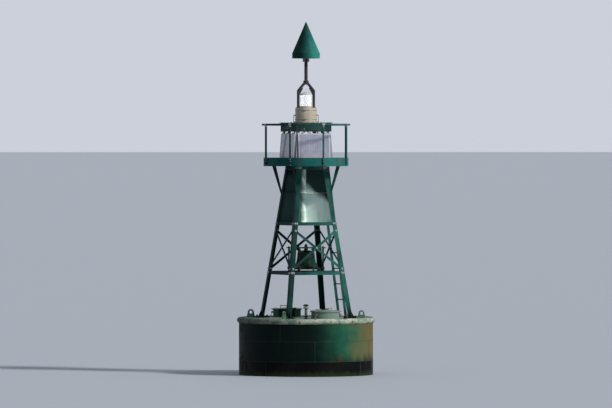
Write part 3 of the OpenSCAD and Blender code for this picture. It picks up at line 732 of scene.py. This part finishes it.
def deck_bolts():
    """Studs of the tower's foot pads, and bolts of the vents' flanges."""
    kit = Kit()
    pad_studs = ((0.53, 0.53), (0.665, 0.54), (0.54, 0.665), (0.668, 0.668))
    for k in range(4):
        for x, y in pad_studs:
            kit.bolt(turned_to(k, (x, y, FOOT_Z)), UP, 0.036, stud=0.014)
    for side in SIDES:
        for k in range(4):
            kit.bolt(vent_foot(side) + polar(VENT_BOLTS, 45 + 90 * k, 0), UP, 0.013)
    kit.piece("deck_bolts", "iron_dark")


def leg_bolts():
    """Bolts through the legs into the girts and the braces."""
    kit = Kit()
    head, end = 0.024, 0.006
    bar_t, bar_face, leg_back, bar_back = 0.006, 0.0061, -0.0081, -0.0142
    girt_middle, girt_back = 0.033, -LEG_T - GIRT_T - 0.0002
    for k in range(4):
        for z in (girt + girt_middle for girt in GIRTS):
            for s in SIDES:
                for inset in (0.024, 0.058):
                    along = s * (tower_half(z) - inset)
                    at, way = on_tower(k, 0.0, along, z)
                    kit.bolt(at, way, head)
                    at, way = on_tower(k, girt_back, along, z)
                    kit.bolt(at, -way, head, stud=end)
        for z, s in ((z, s) for z in BRACE_Z for s in SIDES):
            along = s * (tower_half(z) - LEG_W / 2)
            outside = s == (1 if z == BRACE_Z[1] else -1)
            outer, inner = (bar_face, leg_back) if outside else (0.0, bar_back)
            at, way = on_tower(k, outer, along, z)
            kit.bolt(at, way, head)
            at, way = on_tower(k, inner, along, z)
            kit.bolt(at, -way, head, stud=end)
        low, high = (tower_half(z) - LEG_W / 2 for z in BRACE_Z)
        cross_z = BRACE_Z[0] + (BRACE_Z[1] - BRACE_Z[0]) * low / (low + high)
        for out, s in ((bar_t, 1), (bar_back, -1)):
            at, way = on_tower(k, out, 0.0, cross_z)
            kit.bolt(at, way * s, head)
    kit.piece("leg_bolts", "galvanised")


def ladder_welds():
    """Beads where the rungs enter the stringers, and the rungs' ends outside them."""
    kit = Kit()
    inside, outside = 0.1495, 0.158
    for k in range(1, 10):
        rung = on_ladder(LADDER_OUT, RUNG_PITCH * k + RUNG_FIRST)
        for side in SIDES:
            out = Vector((0, side, 0))
            kit.ring(rung + out * inside, (0, 1, 0), 0.0115, 0.0032, steps=20, sides=6)
            kit.turned(rung + out * outside, out, [(0.0105, 0.0), (0.009, 0.003)], 16)
    kit.piece("ladder_welds", "tower_green", finish=EXTRA["welds"])


def ladder_fixings():
    """Angle cleats at the ladder's feet, and bolts through its brackets at each girt."""
    cleats, bolts = Kit(), Kit()
    cleat = (0.056, 0.064, 0.006)
    foot = on_tower(0, LADDER_OUT, 0.0, DECK_Z - LADDER_OUT * math.sin(TILT))[0]
    for side in SIDES:
        out = Vector((0, side, 0))
        cleats.slab(foot + out * 0.1612 + UP * 0.0325, (1, 0, 0), UP, cleat)
        cleats.slab(foot + out * 0.1960 + UP * 0.0035, (1, 0, 0), out, cleat)
        bolts.bolt(foot + out * 0.2000 + UP * 0.0065, UP, 0.018, stud=0.006)
        bolts.bolt(foot + out * 0.1642 + UP * 0.0400, out, 0.016)
        for girt in GIRTS:
            up = (girt + 0.012 - FOOT_Z) / math.cos(TILT) + 0.018
            for reach in (0.067, 0.093):
                at = on_ladder(reach, up)
                bolts.bolt(at + out * 0.166, out, 0.015)
                bolts.bolt(at + out * 0.150, -out, 0.015, washer=False, stud=0.004)
    cleats.piece("ladder_cleats", "tower_green")
    bolts.piece("ladder_bolts", "galvanised")


def swing_turns(side):
    """Where a hatch's two swing bolts stand, in degrees; its hinge is towards the axis."""
    return (30, 150) if side > 0 else (210, 330)


def cover_hardware(side, name):
    """Bolts, lip, boss and forks that ride a hatch cover."""
    center = Vector((0, side * WELL_Y, 0))
    kit = Kit()
    for k in range(10):
        kit.bolt(center + polar(LID_BOLTS, 36 * k + 18, LID_Z + 0.0028), UP, 0.016)
    kit.ring(center + UP * (LID_Z + 0.0015), UP, LID_LIP, 0.003, steps=64, sides=6)
    boss = [(0.075, 0.0), (0.075, 0.004), (0.068, 0.006)]
    kit.turned(center + UP * (LID_Z + 0.0135), UP, boss, 40)
    for s in SIDES:
        for y in (-0.22, -0.17):
            kit.bolt(center + Vector((s * 0.018, side * y, LID_Z + 0.008)), UP, 0.013)
    for s in SIDES:
        bar_foot = center + Vector((s * 0.06, side * 0.15, LID_Z + 0.0095))
        kit.ring(bar_foot, UP, 0.0075, 0.003, steps=16, sides=6)
    for turn in swing_turns(side):
        ray, across = spoke(turn)
        fork = center + polar(0.278, turn, LID_Z - 0.006)
        for s in SIDES:
            kit.slab(fork + across * s * 0.014, ray, across, (0.028, 0.010, 0.012))
    kit.piece("cover_hardware_" + name, "galvanised", "cover_" + name)


def swing_bolts(side, name):
    """Lugs, pins and slack swing bolts of a coaming, and the ends of its hinge pin."""
    center = Vector((0, side * WELL_Y, 0))
    kit = Kit()
    for turn in swing_turns(side):
        ray, across = spoke(turn)
        base = center + polar(COAMING_R, turn, DECK_Z + 0.085)
        for s in SIDES:
            kit.slab(base + ray * 0.017 + across * s * 0.014, ray, UP, (0.036, 0.036, 0.006))
        pin = base + ray * 0.024
        kit.rod(pin - across * 0.022, pin + across * 0.022, 0.005, 12)
        kit.rod(pin, pin + ray * 0.020 + DOWN * 0.068, 0.0055, 10)
        tip = pin + ray * 0.018 + DOWN * 0.060
        kit.bolt(tip, ray * 0.28 + DOWN, 0.018)
        for s in SIDES:
            kit.slab(tip + across * s * 0.015 + DOWN * 0.008, across, UP, (0.022, 0.014, 0.005))
    pin_end = [(0.012, -0.006), (0.012, 0.0), (0.009, 0.002)]
    for s in SIDES:
        at = center + Vector((s * 0.058, -side * HINGE_Y, HINGE_Z))
        kit.turned(at, Vector((s, 0, 0)), pin_end, 20)
    kit.piece("swing_bolts_" + name, "galvanised")


def hatch_hardware():
    """What rides each cover, and what hangs loose on its coaming."""
    for side, name in ((1, "rear"), (-1, "front")):
        cover_hardware(side, name)
        swing_bolts(side, name)


def reflector_lips():
    """Stiffening flats along the edges of the reflector's plates, with their bolts."""
    kit, bolts = Kit(), Kit()
    flat_t, flat_w, spacing = 0.003, 0.025, 0.105

    def corner(ray, z, lift):
        return ray * (tower_half(z) * math.sqrt(2) - 0.036) + UP * (z + lift)

    for k in range(4):
        ray, across = spoke(45 + 90 * k)
        for z0, z1 in TIERS:
            a, b = corner(ray, z0, 0.012), corner(ray, z1, -0.012)
            run = b - a
            way = run.normalized()
            count = int(run.length / spacing) + 1
            for s in SIDES:
                kit.slab((a + b) / 2 + across * s * 0.0036, way, way.cross(across),
                         (run.length, flat_w, flat_t))
            for i in range(count):
                at = a + run * ((i + 0.5) / count)
                for s in SIDES:
                    bolts.bolt(at + across * s * 0.0051, across * s, 0.013, washer=False)
    for z in (tier[0] for tier in TIERS):
        for k in range(4):
            ray, across = spoke(45 + 90 * k)
            reach = tower_half(z) * math.sqrt(2) - 0.09
            middle = ray * (reach / 2 + 0.02) + UP * (z + flat_t / 2)
            for s in SIDES:
                kit.slab(middle + across * s * 0.014, ray, across, (reach - 0.02, 0.024, flat_t))
    kit.piece("reflector_lips", "reflector_pale")
    bolts.piece("reflector_bolts", "galvanised")


def gallery_fittings():
    """Clamps, pads and sleeves of the rail posts, and the ledge's bolts, none over the ladder."""
    kit = Kit()
    clamp_r, sleeve_r, foot_r, pad = 0.0195, 0.0190, 0.0175, (0.075, 0.075, 0.0024)
    for k in range(8):
        ray, across = spoke(45 * k)
        post, rail = ray * POST_RING, ray * RAIL_RING + UP * RAIL_Z
        for z in CLAMP_Z:
            kit.ring(post + UP * z, UP, clamp_r, 0.0038, steps=28, sides=8)
            for s in SIDES:
                kit.bolt(ray * RIM_IN + across * s * clamp_r + UP * z, -ray, 0.013, stud=0.005)
        kit.slab(ray * (RIM_IN - pad[2] / 2) + UP * PAD_Z, across, UP, pad)
        kit.rod(rail - across * 0.026, rail + across * 0.026, clamp_r, 18)
        kit.turned(post + UP * (RAIL_Z - 0.045), UP, [(sleeve_r, 0.0), (sleeve_r, 0.03)], 18)
        kit.turned(post + UP * POST_FOOT, UP, [(foot_r, 0.0), (foot_r, 0.006)], 18)
        if k:
            for s in SIDES:
                kit.bolt(ray * LEDGE_R + across * s * 0.015 + UP * LEDGE_Z, DOWN, 0.016, stud=0.005)
    kit.piece("gallery_fittings", "galvanised")


def grating_cross_rods():
    """Twisted rods across the floor's bearing bars, cut back at the ladder's opening."""
    kit = Kit()
    edge, step, rod_r, z = 0.749, 0.05, 0.0032, FLOOR_Z - 0.0035
    count = int(edge / step)
    for i in range(-count, count + 1):
        y = i * step
        reach = math.sqrt(edge ** 2 - (abs(y) + 0.003) ** 2)
        far = min(reach, OPENING_X) if abs(y) < OPENING_Y else reach
        kit.rod((-reach, y, z), (far, y, z), rod_r, 6)
    kit.piece("grating_cross_rods", "galvanised")


def solar_lines():
    """Gaps and collector strips of the solar cells, with the clamps that hold the panels."""
    kit, clamps = Kit(), Kit()
    columns, rows = 4, 3
    gap, strip = 0.0030, 0.0016
    for k in range(4):
        middle, out, up = on_pedestal(k, GLASS_OUT, 0.0, PANEL_LOW + PANEL_TALL / 2)
        side = out.cross(up)
        for i in range(1, columns):
            kit.slab(middle + side * PANEL_WIDE * (i / columns - 0.5), side, up, (gap, PANEL_TALL, 0.0006))
        for j in range(1, rows):
            kit.slab(middle + up * PANEL_TALL * (j / rows - 0.5), side, up, (PANEL_WIDE, gap, 0.0006))
        for i in range(columns):
            for f in (0.32, 0.68):
                at = middle + side * PANEL_WIDE * ((i + f) / columns - 0.5)
                kit.slab(at, side, up, (strip, PANEL_TALL, 0.0007))
        for along in (-0.22, 0.22):
            for lift in (0.052, 0.518):
                at, out, up = on_pedestal(k, 0.018, along, lift)
                clamps.slab(at, up, out, (0.016, 0.040, 0.036))
                clamps.bolt(on_pedestal(k, 0.038, along, lift)[0], out, 0.013)
    kit.piece("solar_lines", "solar_cells", finish=EXTRA["cell_lines"])
    clamps.piece("panel_clamps", "galvanised")


def box_hardware():
    """Doors, hinges, latches, lid bolts, cable glands and louvres of the equipment box."""
    kit, doors = Kit(), Kit()
    for k in (1, 3):
        out, side = face_ways(k)
        mid = out * BOX_HALF + UP * (BOX_Z + 0.072)
        doors.slab(mid + out * 0.003, side, UP, (0.580, 0.112, 0.006))
        doors.slab(mid + out * 0.0075, side, UP, (0.550, 0.084, 0.003))
        for s in SIDES:
            hinge = mid + side * s * 0.19 + UP * 0.058 + out * 0.008
            kit.rod(hinge - side * 0.030, hinge + side * 0.030, 0.006, 12)
            latch = mid + side * s * 0.19 - UP * 0.030 + out * 0.009
            kit.turned(latch, out, [(0.013, 0.0), (0.013, 0.003), (0.007, 0.003), (0.007, 0.008)], 18)
            kit.slab(latch + out * 0.0065 - UP * 0.006, side, UP, (0.007, 0.028, 0.004))
    gland = [(0.013, 0.0), (0.013, 0.010), (0.009, 0.010), (0.009, 0.024)]
    for k in range(4):
        out, side = face_ways(k)
        for i in range(-2, 3):
            kit.bolt(out * (BOX_HALF + 0.008) + side * 0.15 * i + UP * BOX_TOP, UP, 0.013)
        for s in SIDES:
            kit.turned(out * 0.20 + side * s * 0.05 + UP * BOX_Z, DOWN, gland, 12)
    for k in (0, 2):
        out, side = face_ways(k)
        for row in range(4):
            at = out * (BOX_HALF + 0.0025) + UP * (BOX_Z + 0.05 + 0.016 * row)
            kit.slab(at, side, (out + UP * 0.6).normalized(), (0.16, 0.012, 0.002))
    doors.piece("box_doors", "box_green")
    kit.piece("box_hardware", "galvanised")


def lantern_hardware():
    """Bolts, clamp bands, glands and conduits of the lantern."""
    kit = Kit()
    for k in range(12):
        kit.bolt(polar(FOOT_BOLTS, 30 * k + 15, DRUM_FOOT), UP, 0.014)
    for k in range(8):
        kit.bolt(polar(TOP_BOLTS, 45 * k + 22.5, DRUM_TOP), UP, 0.013)
    for z in BAND_Z:
        kit.ring((0, 0, z), UP, DRUM_R, 0.005, steps=72, sides=8)
    for a in (60, 240):
        out, side = spoke(a)
        for z in BAND_Z:
            for s in SIDES:
                kit.slab(out * 0.200 + side * s * 0.016 + UP * z, out, UP, (0.016, 0.020, 0.005))
            screw = out * 0.203 + UP * z
            kit.rod(screw - side * 0.026, screw + side * 0.026, 0.003, 8)
    for x in (-YOKE_X, YOKE_X):
        for dx in (-0.023, 0.023):
            for dy in (-0.024, 0.024):
                kit.bolt((x + dx, dy, YOKE_FOOT), UP, 0.009, washer=False)
    for k in range(6):
        kit.bolt(polar(CAP_BOLTS, 60 * k + 30, CAP_EDGE), UP, 0.008, washer=False)
    nut = [(0.014, 0.0), (0.014, 0.008), (0.009, 0.008), (0.009, 0.016)]
    for a in (150, 330):
        gland, out = polar(DRUM_R, a, GLAND_Z), flat(a)
        kit.turned(gland, out, nut, 12)
        bend = gland + out * 0.030
        kit.pipe([gland + out * 0.010, gland + out * 0.026, bend + DOWN * 0.012, bend + DOWN * 0.133],
                 0.006, 10)
    kit.piece("lantern_hardware", "galvanised")


def cap_spikes():
    """Gull spikes round the lantern's cap, and the dome of its light sensor."""
    kit = Kit()
    for k in range(8):
        foot, tip = (polar(r, 45 * k + 22.5, z) for r, z in ((0.062, CAP_TOP), (0.083, 5.100)))
        kit.rod(foot, tip, 0.0016, 6)
        kit.turned(foot, UP, [(0.005, -0.002), (0.005, 0.004), (0.003, 0.006)], 10)
    wide, wall = 0.014, 0.008
    dome = [(wide * math.cos(t), wall + 0.012 * math.sin(t)) for t in (0.4, 0.8, 1.2, 1.5)]
    kit.turned(polar(0.045, 90, SENSOR_Z), UP, [(wide, 0.0), (wide, wall)] + dome, 20)
    kit.piece("cap_spikes", "cap_pale")


def topmark_hardware():
    """Bolts of the pole's flanges, the plate and gussets under the cone, and the cone's seams."""
    kit = Kit()
    for k in range(6):
        kit.bolt(polar(0.0415, 60 * k, POLE_FOOT), UP, 0.012, washer=False)
        kit.bolt(polar(0.052, 60 * k + 30, CONE_Z - 0.0085), DOWN, 0.012, washer=False)
    kit.turned(Vector((0, 0, CONE_Z - 0.008)), UP, [(0.066, 0.0), (0.066, 0.009)], 36)
    for k in range(4):
        ray = flat(90 * k + 45)
        kit.slab(ray * 0.045 + UP * (CONE_Z - 0.035), ray, UP, (0.034, 0.056, 0.006))
    kit.piece("topmark_hardware", "galvanised")

    seams = Kit()
    bead, edge, shoulder = 0.0026, CONE_R - 0.0005, CONE_Z + CONE_SKIRT
    for z, thick in ((CONE_Z + 0.0055, 0.0045), (shoulder, 0.0035)):
        seams.ring((0, 0, z), UP, CONE_R - 0.002, thick, steps=72, sides=8)
    for a in (20, 140, 260):
        seams.rod(polar(edge, a, CONE_Z + 0.010), polar(edge, a, shoulder), bead, 6)
        seams.rod(polar(edge, a, shoulder), polar(0.008, a, CONE_TIP), bead, 6)
    seams.piece("cone_seams", "topmark_green")


def bell_hardware():
    """Moulded bands on the bell, its crown nut, and the nuts of the stand and the hinge pins."""
    bands = Kit()
    rows = ((0.063, 0.0040), (0.072, 0.0028), (0.238, 0.0040), (0.248, 0.0028), (0.284, 0.0035))
    for lift, thick in rows:
        bell_r = BELL_WAIST + BELL_FLARE * math.exp(-3.2 * lift / BELL_H)
        bands.ring((0, 0, MOUTH_Z + lift), UP, bell_r - 0.001, thick, steps=72, sides=8)
    bands.piece("bell_bands", "bell_metal")

    kit = Kit()
    kit.bolt((0, 0, STAND_TOP), UP, 0.055, stud=0.020)
    for k in range(4):
        post = polar(STAND_R, 90 * k, 0)
        kit.turned(post + UP * BEAM_TOP, UP, [(0.028, 0.0), (0.028, 0.006)], 20)
        kit.bolt(post + UP * STAND_TOP, UP, 0.024, stud=0.008)
        pin, across = polar(PIN_R, 45 + 90 * k, PIN_Z), flat(135 + 90 * k)
        for s in SIDES:
            kit.turned(pin + across * s * 0.0185, across * s, [(0.011, 0.0), (0.011, 0.003)], 14)
            split = pin + across * s * 0.0245
            kit.rod(split + UP * 0.011, split + DOWN * 0.011, 0.0015, 6)
    kit.piece("stand_nuts", "iron_dark")


def under_ways(ray):
    """Directions along the underwater cone and square to it, at a spoke."""
    c, s = math.cos(UNDER_TILT), math.sin(UNDER_TILT)
    return ray * c + UP * s, ray * s + DOWN * c


def tail_hardware():
    """Bolts of the weight's flange, and the straps that hold the anodes."""
    kit = Kit()
    for k in range(4):
        ray = flat(22.5 + 90 * k)
        along, down = under_ways(ray)
        base = ray * ANODE_R + UP * (TAIL_Z + (ANODE_R - TAIL_R) * UNDER_RISE)
        for s in SIDES:
            kit.slab(base + along * s * 0.175 + down * 0.004, along, down, (0.056, 0.008, 0.045))
            kit.bolt(base + along * s * 0.188 + down * 0.008, down, 0.018)
    for k in range(12):
        kit.bolt(polar(0.328, 30 * k + 15, FLANGE_Z), UP, 0.030, stud=0.010)
    kit.piece("tail_hardware", "iron_dark")


def shell_clusters():
    """Small cone shells scattered in clusters over the lower steel, always the same."""
    rng = random.Random(7)
    kit = Kit()
    highest, lowest = -0.035, -0.95

    def shell(at, out, r, tall, turn):
        profile = [(r, 0.0), (r * 0.78, tall * 0.6), (r * 0.42, tall), (r * 0.30, tall * 0.7)]
        kit.turned(at, out, profile, 7, turn)

    centers = [(rng.uniform(0, 360), rng.uniform(-0.93, -0.06)) for _ in range(46)]
    for angle, level in centers:
        for _ in range(rng.randint(14, 34)):
            ray = flat(angle + rng.gauss(0, 5.0))
            z = level + rng.gauss(0, 0.055)
            if not lowest < z <= highest:
                continue
            if z > -FLOAT_DEEP:
                at, out = ray * FLOAT_R + UP * z, ray
            else:
                at = ray * (TAIL_R + (z - TAIL_Z) / UNDER_RISE) + UP * z
                out = under_ways(ray)[1]
            r = rng.uniform(0.005, 0.012)
            tall = r * rng.uniform(0.7, 1.1)
            shell(at - out * 0.001, out, r, tall, rng.uniform(0, 1))
    for _ in range(420):
        out, z = flat(rng.uniform(0, 360)), rng.uniform(-2.0, -1.0)
        r = rng.uniform(0.004, 0.010)
        shell(out * (TAIL_R - 0.001) + UP * z, out, r, r, rng.uniform(0, 1))
    kit.piece("shell_clusters", "boot_black", finish=EXTRA["shells"], round_to=50.0)


for make_fittings in (hull_seams, deck_bolts, leg_bolts, ladder_welds, ladder_fixings, hatch_hardware,
                      reflector_lips, gallery_fittings, grating_cross_rods, solar_lines, box_hardware,
                      lantern_hardware, cap_spikes, topmark_hardware, bell_hardware, tail_hardware,
                      shell_clusters):
    make_fittings()


# Floor at height zero, a pale backdrop and the light

FLOOR_REACH = 9000.0
FLOOR_COLOR = (0.46, 0.50, 0.56)
SOFT_COLOR, SOFT_STRENGTH = (0.80, 0.88, 1.0, 1.0), 0.34
BACKDROP_COLOR = (0.60, 0.63, 0.70, 1.0)
SUN_AZIMUTH, SUN_HEIGHT, SUN_SIZE = math.radians(305.0), math.radians(33.0), math.radians(8.0)
SUN_STRENGTH, SUN_COLOR = 2.9, (1.0, 0.97, 0.92)


def make_stage():
    """One very large, plain floor."""
    mesh = bpy.data.meshes.new("floor")
    corners = [(FLOOR_REACH * x, FLOOR_REACH * y, 0) for x, y in ((-1, -1), (1, -1), (1, 1), (-1, 1))]
    mesh.from_pydata(corners, [], [(0, 1, 2, 3)])
    floor = bpy.data.objects.new("floor", mesh)
    bpy.context.scene.collection.objects.link(floor)
    mesh.materials.append(Shade("floor", FLOOR_COLOR, 0.8).mat)


def make_surround():
    """Even soft light, which straight looks, reflections and glass show as a pale backdrop."""
    world = bpy.data.worlds.new("world")
    bpy.context.scene.world = world
    world.use_nodes = True
    nodes, link = world.node_tree.nodes, world.node_tree.links.new
    nodes.clear()
    soft, seen = nodes.new("ShaderNodeBackground"), nodes.new("ShaderNodeBackground")
    for light, color, strength in ((soft, SOFT_COLOR, SOFT_STRENGTH), (seen, BACKDROP_COLOR, 1.0)):
        light.inputs["Color"].default_value = color
        light.inputs["Strength"].default_value = strength
    path = nodes.new("ShaderNodeLightPath")
    switch = path.outputs["Is Camera Ray"]
    for kind in ("Is Glossy Ray", "Is Transmission Ray"):
        either = nodes.new("ShaderNodeMath")
        either.operation = "MAXIMUM"
        link(switch, either.inputs[0])
        link(path.outputs[kind], either.inputs[1])
        switch = either.outputs[0]
    mix = nodes.new("ShaderNodeMixShader")
    link(switch, mix.inputs[0])
    link(soft.outputs[0], mix.inputs[1])
    link(seen.outputs[0], mix.inputs[2])
    link(mix.outputs[0], nodes.new("ShaderNodeOutputWorld").inputs["Surface"])


def make_sun():
    """One soft sun, over the viewer's right shoulder."""
    data = bpy.data.lights.new("key", "SUN")
    data.energy = SUN_STRENGTH
    data.color = SUN_COLOR
    data.angle = SUN_SIZE
    lamp = bpy.data.objects.new("key", data)
    bpy.context.scene.collection.objects.link(lamp)
    level = math.cos(SUN_HEIGHT)
    toward = Vector((math.cos(SUN_AZIMUTH) * level, math.sin(SUN_AZIMUTH) * level, math.sin(SUN_HEIGHT)))
    lamp.rotation_euler = toward.to_track_quat("Z", "Y").to_euler()


make_stage()
make_surround()
make_sun()
bpy.context.scene.view_settings.view_transform = "Standard"
